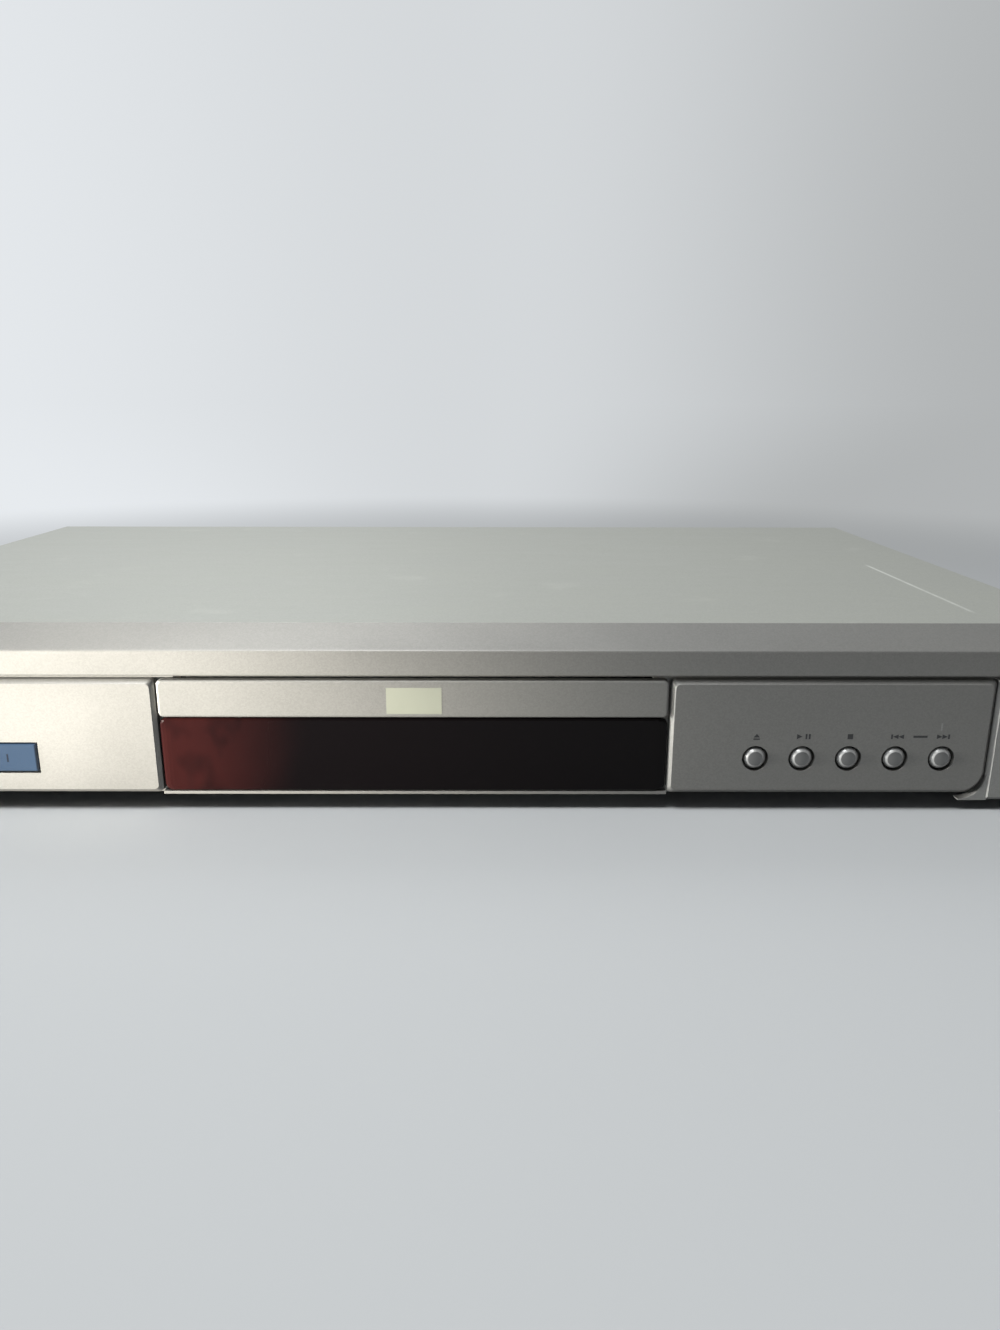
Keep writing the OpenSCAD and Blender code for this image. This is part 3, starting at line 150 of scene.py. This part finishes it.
def floor_paper():
    """Pale paper: lit and shadowed round the object; far from it, an emitted pale tone with
    painted light falloff, paler on the left and behind, dimmer to the right and in front.
    """
    near, far = 0.34, 0.95
    material = bpy.data.materials.new("floor_paper")
    material.use_nodes = True
    nodes, links = material.node_tree.nodes, material.node_tree.links
    paper = nodes["Principled BSDF"]
    paper.inputs["Base Color"].default_value = (0.48, 0.49, 0.495, 1)
    paper.inputs["Roughness"].default_value = 0.9
    paper.inputs["Specular IOR Level"].default_value = 0.1
    place = nodes.new("ShaderNodeTexCoord").outputs["Object"]
    # Painted light: far from the object the paper shows the room's tones, paler on the left,
    # dimmer to the right and in front
    painted_far_tone = nodes.new("ShaderNodeEmission")
    links.new(room_tone(nodes, links, place), painted_far_tone.inputs["Color"])
    links.new(seen_directly(nodes, links), painted_far_tone.inputs["Strength"])
    distance = nodes.new("ShaderNodeVectorMath")
    distance.operation = "LENGTH"
    links.new(place, distance.inputs[0])
    fade = nodes.new("ShaderNodeMapRange")
    fade.interpolation_type = "SMOOTHSTEP"
    fade.inputs["From Min"].default_value = near
    fade.inputs["From Max"].default_value = far
    links.new(distance.outputs["Value"], fade.inputs["Value"])
    mix = nodes.new("ShaderNodeMixShader")
    links.new(fade.outputs[0], mix.inputs["Fac"])
    links.new(paper.outputs[0], mix.inputs[1])
    links.new(painted_far_tone.outputs[0], mix.inputs[2])
    links.new(mix.outputs[0], nodes["Material Output"].inputs["Surface"])
    return material


def make_floor():
    """A very large pale sheet under the object; the room begins at its far edge."""
    mesh = bpy.data.meshes.new("floor")
    half = 40.0
    points = [(-half, -half, 0), (half, -half, 0), (half, half, 0), (-half, half, 0)]
    mesh.from_pydata(points, [], [(0, 1, 2, 3)])
    floor = bpy.data.objects.new("floor", mesh)
    bpy.context.collection.objects.link(floor)
    mesh.materials.append(floor_paper())
    return floor


def add_lamp(name, kind, place, target, power, colour):
    """A lamp that faces a point."""
    lamp = bpy.data.lights.new(name, kind)
    lamp.energy = power
    lamp.color = colour
    holder = bpy.data.objects.new(name, lamp)
    bpy.context.collection.objects.link(holder)
    holder.location = place
    holder.rotation_euler = (Vector(target) - Vector(place)).to_track_quat("-Z", "Y").to_euler()
    return holder


def make_world():
    """A soft world, brightest behind on the left and dimmest towards the right front."""
    bright_side, low_level, high_level = (-0.4, 0.8, 0.35), 0.0, 0.62
    world = bpy.data.worlds.new("world")
    bpy.context.scene.world = world
    world.use_nodes = True
    nodes, links = world.node_tree.nodes, world.node_tree.links
    background = nodes["Background"]
    toward = nodes.new("ShaderNodeTexCoord").outputs["Generated"]
    links.new(room_tone(nodes, links, toward), background.inputs["Color"])
    facing = nodes.new("ShaderNodeVectorMath")
    facing.operation = "DOT_PRODUCT"
    facing.inputs[1].default_value = bright_side
    links.new(toward, facing.inputs[0])
    slope = nodes.new("ShaderNodeMapRange")
    slope.inputs["From Min"].default_value = -1
    slope.inputs["From Max"].default_value = 1
    slope.inputs["To Min"].default_value = low_level
    slope.inputs["To Max"].default_value = high_level
    links.new(facing.outputs["Value"], slope.inputs["Value"])
    strength = nodes.new("ShaderNodeMix")
    links.new(seen_directly(nodes, links), strength.inputs["Factor"])
    links.new(slope.outputs[0], strength.inputs["A"])
    strength.inputs["B"].default_value = 1.0
    links.new(strength.outputs["Result"], background.inputs["Strength"])


def keep_off(lamp, piece):
    """Take one piece out of what a lamp lights."""
    spared = lamp.light_linking.receiver_collection
    if spared is None:
        spared = bpy.data.collections.new(lamp.name + "_keeps_off")
        lamp.light_linking.receiver_collection = spared
    spared.objects.link(piece)
    spared.collection_objects[len(spared.objects) - 1].light_linking.link_state = "EXCLUDE"


# Two soft lamps above: place and watts
SOFT_LAMPS = {"top": ((-0.20, -0.30, 0.94), 9.5), "back": ((-0.22, 0.45, 0.62), 1.4)}
SOFT_AIM, SOFT_SIZE, SOFT_COLOUR = (-0.10, 0, 0), 0.35, (0.97, 0.99, 1.0)
# Two low lamps on the left, for the front: place, aim, watts, colour, beam in degrees, radius
LOW_LAMPS = {
    "key": ((-0.90, FACE_Y - 0.495, 0.030), (-0.083, FACE_Y, 0.030), 280.0, (1.0, 0.955, 0.86),
            8.0, 0.03),
    "side": ((-0.75, FACE_Y - 0.065, 0.07), (0.10, FACE_Y, 0.026), 60.0, (1.0, 0.99, 0.95),
             14.0, 0.04),
}
# The side lamp would burn a strip into the cover, and the end of the left cap white
SPARED_BY_SIDE_LAMP = ("top_cover_shell", "left_end_cap_shell")


def make_lamps(floor):
    """The soft lamps and the low lamps; gives back the low ones by name."""
    for name, (place, power) in SOFT_LAMPS.items():
        soft = add_lamp(name, "AREA", place, SOFT_AIM, power, SOFT_COLOUR)
        soft.data.size = SOFT_SIZE
    low = {}
    for name, (place, aim, power, colour, beam, radius) in LOW_LAMPS.items():
        lamp = add_lamp(name, "SPOT", place, aim, power, colour)
        lamp.data.spot_size = math.radians(beam)
        lamp.data.spot_blend = 1.0
        lamp.data.shadow_soft_size = radius
        # Meant for the front alone, it would burn out the floor beside it
        keep_off(lamp, floor)
        low[name] = lamp
    return low


# ---- Materials ----

class Finish:
    """A procedural material under construction, on one principled shader."""

    def __init__(self, name, roughness=0.5, metallic=0.0, coat=0.0, specular=0.5):
        self.material = bpy.data.materials.new(name)
        self.material.use_nodes = True
        self.nodes = self.material.node_tree.nodes
        self.links = self.material.node_tree.links
        self.shader = self.nodes["Principled BSDF"]
        self.shader.inputs["Roughness"].default_value = roughness
        self.shader.inputs["Metallic"].default_value = metallic
        self.shader.inputs["Coat Weight"].default_value = coat
        self.shader.inputs["Specular IOR Level"].default_value = specular

    def place(self):
        """The point in the object's own metres."""
        return self.nodes.new("ShaderNodeTexCoord").outputs["Object"]

    def axis(self, name):
        """One coordinate of that point."""
        split = self.nodes.new("ShaderNodeSeparateXYZ")
        self.links.new(self.place(), split.inputs[0])
        return split.outputs[name]

    def noise(self, scale, detail=2.0, stretch=(1, 1, 1)):
        """Noise whose grains measure about one over the scale, in metres."""
        mapping = self.nodes.new("ShaderNodeMapping")
        mapping.inputs["Scale"].default_value = stretch
        self.links.new(self.place(), mapping.inputs["Vector"])
        texture = self.nodes.new("ShaderNodeTexNoise")
        texture.inputs["Scale"].default_value = scale
        texture.inputs["Detail"].default_value = detail
        self.links.new(mapping.outputs["Vector"], texture.inputs["Vector"])
        return texture.outputs["Fac"]

    def cells(self, scale, feature="F1", output="Color"):
        """Cells that measure about one over the scale, in metres."""
        texture = self.nodes.new("ShaderNodeTexVoronoi")
        texture.feature = feature
        texture.inputs["Scale"].default_value = scale
        self.links.new(self.place(), texture.inputs["Vector"])
        return texture.outputs[output]

    def ranged(self, value, low, high, from_low=0.3, from_high=0.7, smooth=False):
        """A value carried from one range to another, and held at its ends."""
        node = self.nodes.new("ShaderNodeMapRange")
        if smooth:
            node.interpolation_type = "SMOOTHSTEP"
        node.inputs["From Min"].default_value = from_low
        node.inputs["From Max"].default_value = from_high
        node.inputs["To Min"].default_value = low
        node.inputs["To Max"].default_value = high
        self.links.new(value, node.inputs["Value"])
        return node.outputs[0]

    def math(self, operation, first, second=None):
        """A calculation on sockets or numbers."""
        node = self.nodes.new("ShaderNodeMath")
        node.operation = operation
        for index, value in enumerate((first, second)):
            if isinstance(value, bpy.types.NodeSocket):
                self.links.new(value, node.inputs[index])
            elif value is not None:
                node.inputs[index].default_value = value
        return node.outputs[0]

    def blend(self, factor, first, second):
        """A colour between two colours or colour sockets."""
        node = self.nodes.new("ShaderNodeMix")
        node.data_type = "RGBA"
        self.links.new(factor, node.inputs["Factor"])
        targets = [i for i in node.inputs if i.type == "RGBA"]
        for target, value in zip(targets, (first, second)):
            if isinstance(value, bpy.types.NodeSocket):
                self.links.new(value, target)
            else:
                target.default_value = (*value, 1)
        return [o for o in node.outputs if o.type == "RGBA"][0]

    def stripe(self, value, start, end, soft):
        """1 between two values, with soft ends; 0 outside."""
        rise = self.ranged(value, 0, 1, start - soft, start + soft, True)
        fall = self.ranged(value, 1, 0, end - soft, end + soft, True)
        return self.math("MULTIPLY", rise, fall)

    def colour(self, socket):
        """Set the base colour."""
        self.links.new(socket, self.shader.inputs["Base Color"])

    def roughness(self, socket):
        """Set the roughness."""
        self.links.new(socket, self.shader.inputs["Roughness"])

    def bump(self, height, strength, distance_mm):
        """A fine relief that shows in the light alone."""
        node = self.nodes.new("ShaderNodeBump")
        node.inputs["Strength"].default_value = strength
        node.inputs["Distance"].default_value = distance_mm * MM
        self.links.new(height, node.inputs["Height"])
        self.links.new(node.outputs["Normal"], self.shader.inputs["Normal"])


def shade(colour, factor):
    """A colour made darker or lighter."""
    return tuple(min(1.0, c * factor) for c in colour)


def plain(name, colour, roughness=0.5, metallic=0.0, coat=0.0, contrast=0.06, specular=0.5):
    """A moulded, plated or printed surface: slight mottling, varied gloss and a fine grain."""
    finish = Finish(name, roughness, metallic, coat, specular)
    mottle = finish.noise(60.0, 4.0)
    fine = finish.noise(900.0, 3.0)
    tones = shade(colour, 1 - contrast), shade(colour, 1 + contrast)
    finish.colour(finish.blend(finish.ranged(mottle, 0, 1), *tones))
    finish.roughness(finish.ranged(fine, roughness * 0.85, roughness * 1.15))
    finish.bump(fine, 0.12, 0.05)
    return finish.material


def bevel_with_painted_sheen(name, face, bevel, roughness, metallic):
    """A satin front face with a paler bevel round it; the paler colour is a painted sheen for the
    light the chamfer catches, in the same finish as the face.
    """
    finish = Finish(name, roughness, metallic)
    split = finish.nodes.new("ShaderNodeSeparateXYZ")
    finish.links.new(finish.nodes.new("ShaderNodeTexCoord").outputs["Normal"], split.inputs[0])
    sheen_mask = finish.ranged(split.outputs["Y"], 0, 1, -0.96, -0.82, True)
    # Painted sheen: the bevel is painted paler all round, standing in for the light it catches
    finish.colour(finish.blend(sheen_mask, face, bevel))
    finish.roughness(finish.ranged(finish.noise(900.0, 3.0), roughness * 0.9, roughness * 1.1))
    return finish.material


def silver(name, colour, roughness, metallic, marks=None):
    """Metallic silver: tiny bright and dark flakes in a satin film, wiped here and there."""
    finish = Finish(name, roughness, metallic)
    flakes = finish.nodes.new("ShaderNodeSeparateColor")
    finish.links.new(finish.cells(2400.0), flakes.inputs[0])
    fine = finish.blend(finish.ranged(flakes.outputs[0], 0, 1, 0, 1), shade(colour, 0.93),
                        shade(colour, 1.07))
    cloud = finish.ranged(finish.noise(7.0, 3.0), 0, 0.25)
    tone = finish.blend(cloud, fine, shade(colour, 0.95))
    if marks:
        tone = marks(finish, tone)
    finish.colour(tone)
    wiped = finish.noise(26.0, 5.0, (1, 2.5, 1))
    finish.roughness(finish.ranged(wiped, roughness * 0.92, roughness * 1.1))
    finish.bump(finish.noise(1500.0, 2.0), 0.10, 0.03)
    return finish.material


def cover_marks(finish, tone):
    """The long light scuff near the right edge of the cover, and faint rubbed spots."""
    scuff_x, scuff_front, scuff_back, half = 0.18375, -0.0986, -0.0067, 0.0006
    across = finish.stripe(finish.axis("X"), scuff_x - half, scuff_x + half, 0.0004)
    along = finish.stripe(finish.axis("Y"), scuff_front, scuff_back, 0.004)
    worn = finish.ranged(finish.noise(260.0, 4.0, (1, 0.3, 1)), 0.35, 1.0, 0.3, 0.6)
    scuff = finish.math("MULTIPLY", finish.math("MULTIPLY", across, along), worn)
    tone = finish.blend(finish.math("MULTIPLY", scuff, 0.75), tone, (0.62, 0.63, 0.58))
    rubbed = finish.ranged(finish.noise(34.0, 6.0), 0, 0.22, 0.62, 0.74)
    return finish.blend(rubbed, tone, (0.50, 0.50, 0.45))


def smoked_window(name):
    """Polished dark acrylic, nearly black, with a painted reflection: warm red-brown at its left
    end, in blotches, fading to the right.
    """
    finish = Finish(name, 0.05, 0.0, 0.0, 0.13)
    reflection_full_to, reflection_gone_from = WINDOW_LEFT + 0.012, WINDOW_LEFT + 0.055
    drift = finish.math("MULTIPLY", finish.noise(28.0, 2.0), 0.02)
    along = finish.math("ADD", finish.axis("X"), drift)
    reflection_fade = finish.ranged(along, 0, 1, reflection_full_to, reflection_gone_from, True)
    reflection_blotches = finish.ranged(finish.noise(75.0, 2.0, (1, 1, 0.7)), 0, 0.7, 0.42, 0.62)
    # Painted reflection: the warm red-brown is a reflection painted into the colour, broken by
    # noise and fading to the acrylic's own near black
    tone = finish.blend(finish.math("MAXIMUM", reflection_fade, reflection_blotches), (0.020, 0.0045, 0.0042),
                        (0.002, 0.0012, 0.0014))
    finish.colour(tone)
    finish.roughness(finish.ranged(finish.noise(120.0, 4.0), 0.03, 0.09))
    finish.bump(finish.noise(14.0, 1.0), 0.05, 0.2)
    return finish.material


def brushed(name, colour, roughness):
    """Rolled or plated sheet with fine lines along X."""
    finish = Finish(name, roughness, 0.9)
    lines = finish.noise(700.0, 3.0, (0.04, 1, 1))
    cloud = finish.noise(25.0, 4.0)
    fine = finish.blend(finish.ranged(lines, 0, 1), shade(colour, 0.9), shade(colour, 1.08))
    finish.colour(finish.blend(finish.ranged(cloud, 0, 0.4), fine, shade(colour, 0.85)))
    finish.roughness(finish.ranged(lines, roughness * 0.8, roughness * 1.25))
    finish.bump(lines, 0.15, 0.02)
    return finish.material


def circuit_board(name, colour):
    """Solder mask over copper: paler tracks and a weave under it."""
    finish = Finish(name, 0.35, 0.0, 0.3)
    edge = finish.cells(330.0, "DISTANCE_TO_EDGE", "Distance")
    track = finish.ranged(edge, 1, 0, 0.02, 0.05)
    weave = finish.ranged(finish.noise(500.0, 2.0), 0, 1)
    base = finish.blend(weave, shade(colour, 0.85), shade(colour, 1.1))
    finish.colour(finish.blend(track, base, shade(colour, 1.35)))
    finish.roughness(finish.ranged(weave, 0.28, 0.45, 0, 1))
    finish.bump(track, 0.3, 0.04)
    return finish.material


MATERIALS = {}


def make_materials():
    """One finish for each slot of the record."""
    colour = {row["slot"]: tuple(row["base_color"][:3]) for row in RECORD["materials"]}
    metal = {"brushed_steel": 0.9, "chrome": 1.0, "aluminium": 0.9}
    rough = {"brushed_steel": 0.38, "chrome": 0.2, "aluminium": 0.4, "gloss_plastic": 0.18,
             "rubber": 0.8, "glass": 0.08}
    for row in RECORD["materials"]:
        MATERIALS[row["slot"]] = plain(row["slot"], colour[row["slot"]],
                                       rough.get(row["class"], 0.5), metal.get(row["class"], 0.0))
    MATERIALS["cover_paint"] = silver("cover_paint", (0.33, 0.335, 0.30), 0.46, 0.3, cover_marks)
    MATERIALS["silver_plastic"] = silver("silver_plastic", (0.21, 0.207, 0.196), 0.42, 0.45)
    MATERIALS["cap_plastic"] = silver("cap_plastic", (0.27, 0.27, 0.258), 0.42, 0.3)
    # The buttons' pale bevel is a painted sheen
    MATERIALS["button_silver"] = bevel_with_painted_sheen("button_silver", (0.19, 0.19, 0.187),
                                              (0.45, 0.45, 0.44), 0.34, 0.6)
    MATERIALS["power_blue"] = plain("power_blue", (0.022, 0.040, 0.072), 0.2, 0.0, 0.3, 0.05)
    # The window's warm left end is a painted reflection
    MATERIALS["smoked_window"] = smoked_window("smoked_window")
    for slot in ("bare_steel", "motor_steel"):
        MATERIALS[slot] = brushed(slot, colour[slot], 0.38)
    for slot in ("board_green", "board_tan"):
        MATERIALS[slot] = circuit_board(slot, colour[slot])
    MATERIALS["print_dark"] = plain("print_dark", (0.035, 0.035, 0.037), 0.6)
    MATERIALS["print_blue"] = plain("print_blue", (0.004, 0.008, 0.018), 0.6, specular=0.1)
    MATERIALS["print_pale"] = plain("print_pale", (0.265, 0.275, 0.225), 0.4, 0.2, contrast=0.03)


# ---- Pieces made from the frame ----

def add_piece(name, mesh, body, slot, material=None):
    """A visible piece that moves with a body, in its slot's finish unless another is given."""
    piece = bpy.data.objects.new(name, mesh)
    bpy.context.collection.objects.link(piece)
    mesh.materials.clear()
    mesh.materials.append(material or MATERIALS[slot])
    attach(piece, body)
    return piece


def rounded_copy(node, width_mm):
    """A node's form with its sharp edges broken, as moulding and folding leave them."""
    same_point, flat_angle, sharp_angle = 2e-6, math.radians(1.0), math.radians(25.0)
    mesh = bpy.data.meshes.new(node + "_shell")
    work = bmesh.new()
    work.from_mesh(NODES[node].data)
    bmesh.ops.remove_doubles(work, verts=work.verts, dist=same_point)
    bmesh.ops.dissolve_limit(work, angle_limit=flat_angle, verts=work.verts, edges=work.edges)
    work.to_mesh(mesh)
    work.free()
    piece = add_piece(node + "_shell", mesh, BODY_OF[node], SLOT_OF[node])
    bevel = piece.modifiers.new("edges", "BEVEL")
    bevel.width = width_mm * MM
    bevel.segments = 2
    bevel.limit_method = "ANGLE"
    bevel.angle_limit = sharp_angle
    bevel.use_clamp_overlap = True
    mesh.polygons.foreach_set("use_smooth", [True] * len(mesh.polygons))
    flats = piece.modifiers.new("flats", "WEIGHTED_NORMAL")
    flats.weight = 100
    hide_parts(node)


# Width of the broken edges of each node that is seen, in millimetres
EDGES = {
    "top_cover": 0.2, "front_fascia": 0.3, "left_end_cap": 0.3, "right_end_cap": 0.3,
    "power_button": 0.3, "tray_front": 0.25, "disc_tray": 0.3, "rear_panel": 0.12,
    "chassis_base": 0.15, "feet": 0.25, "jack_sleeves": 0.2, "jack_block": 0.15,
    "red_collars": 0.35, "white_collar": 0.35, "yellow_collar": 0.35, "green_collar": 0.35,
    "blue_collar": 0.35, "s_video_jack": 0.2, "optical_jack": 0.25, "mains_inlet": 0.3,
    "cover_screws": 0.15, "rear_screws": 0.15, "clamp_bridge": 0.2, "loader_frame": 0.25,
    "eject_button": 0.1, "play_button": 0.1, "stop_button": 0.1, "back_button": 0.1,
    "next_button": 0.1,
}


def dress_nodes():
    """Each node in its finish, and the rounded copies that are shown for some."""
    for name, node in NODES.items():
        node.data.materials.clear()
        node.data.materials.append(MATERIALS[SLOT_OF[name]])
    for name, width in EDGES.items():
        rounded_copy(name, width)


# ---- Printed marks ----

def print_plates(name, outlines, front_y, body, slot, material, thick_mm=0.03):
    """Flat outlines in X and Z, in metres, as one thin layer that stands on a front face."""
    work = bmesh.new()
    for outline in outlines:
        front = [work.verts.new((x, front_y - thick_mm * MM, z)) for x, z in outline]
        back = [work.verts.new((x, front_y + thick_mm * MM, z)) for x, z in outline]
        count = len(outline)
        work.faces.new(front)
        work.faces.new(back[::-1])
        for k in range(count):
            work.faces.new((front[k], back[k], back[(k + 1) % count], front[(k + 1) % count]))
    bmesh.ops.recalc_face_normals(work, faces=work.faces)
    mesh = bpy.data.meshes.new(name)
    work.to_mesh(mesh)
    work.free()
    add_piece(name, mesh, body, slot, MATERIALS[material])


def bar(x, z, width, height):
    """A rectangle about a point, sizes in millimetres."""
    w, h = width * MM / 2, height * MM / 2
    return [(x - w, z - h), (x + w, z - h), (x + w, z + h), (x - w, z + h)]


def arrow(x, z, width, height, side):
    """A triangle about a point that points along X to one side."""
    w, h = width * MM / 2 * side, height * MM / 2
    return [(x - w, z - h), (x + w, z), (x - w, z + h)]


def mark_buttons():
    """The common signs for eject, play and pause, stop, back and next, one over each button."""
    rise, tall, stroke = 7.3 * MM, 1.7, 0.55
    skip_tall, faint_rise, faint_size = 1.5, 10.5 * MM, (0.5, 2.4)
    place = {key: middle(key + "_button") for key in ("eject", "play", "stop", "back", "next")}
    z = place["play"].z + rise
    x = {key: point.x for key, point in place.items()}
    eject_low, eject_high, eject_half = z - 0.0003, z + 0.0009, 0.001
    signs = [
        [(x["eject"] - eject_half, eject_low), (x["eject"] + eject_half, eject_low),
         (x["eject"], eject_high)],
        bar(x["eject"], z - 0.00085, 2.0, 0.45),
        arrow(x["play"] - 1.2 * MM, z, tall, tall, 1),
        bar(x["play"] + 0.9 * MM, z, stroke, tall),
        bar(x["play"] + 1.9 * MM, z, stroke, tall),
        bar(x["stop"], z, tall, tall),
    ]
    for key, side in (("back", -1), ("next", 1)):
        for shift in (-1.3, 0.4):
            signs.append(arrow(x[key] + shift * side * MM, z, tall, skip_tall, side))
        signs.append(bar(x[key] + 1.6 * side * MM, z, stroke, skip_tall))
    signs.append(bar((x["back"] + x["next"]) / 2, z, 4.4, 0.7))
    print_plates("button_signs", signs, FACE_Y, "root", "silver_plastic", "print_dark")
    faint = bar(x["next"] - 0.001, place["next"].z + faint_rise, *faint_size)
    print_plates("faint_mark", [faint], FACE_Y, "root", "silver_plastic", "cap_plastic")


def mark_power():
    """The plain upright stroke of a power switch, near the right end of its button."""
    low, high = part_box("power_button")
    from_end, stroke_size = 0.0105, (0.5, 2.6)
    stroke = bar(high.x - from_end, (low.z + high.z) / 2, *stroke_size)
    print_plates("power_sign", [stroke], low.y, BODY_OF["power_button"], "power_blue",
                 "print_blue")


def mark_door():
    """The plain pale patch in the middle of the tray door."""
    left, right, low, high = -0.0082, 0.0089, 0.0323, 0.0407
    patch = bar((left + right) / 2, (low + high) / 2, (right - left) / MM, (high - low) / MM)
    print_plates("door_patch", [patch], DOOR_FACE_Y, "tray", "silver_plastic", "print_pale", 0.05)


make_camera()
paper_floor = make_floor()
make_world()
low_lamps = make_lamps(paper_floor)
make_materials()
dress_nodes()
for spared_piece in SPARED_BY_SIDE_LAMP:
    keep_off(low_lamps["side"], bpy.data.objects[spared_piece])
mark_buttons()
mark_power()
mark_door()

bpy.context.scene.view_settings.view_transform = "Standard"
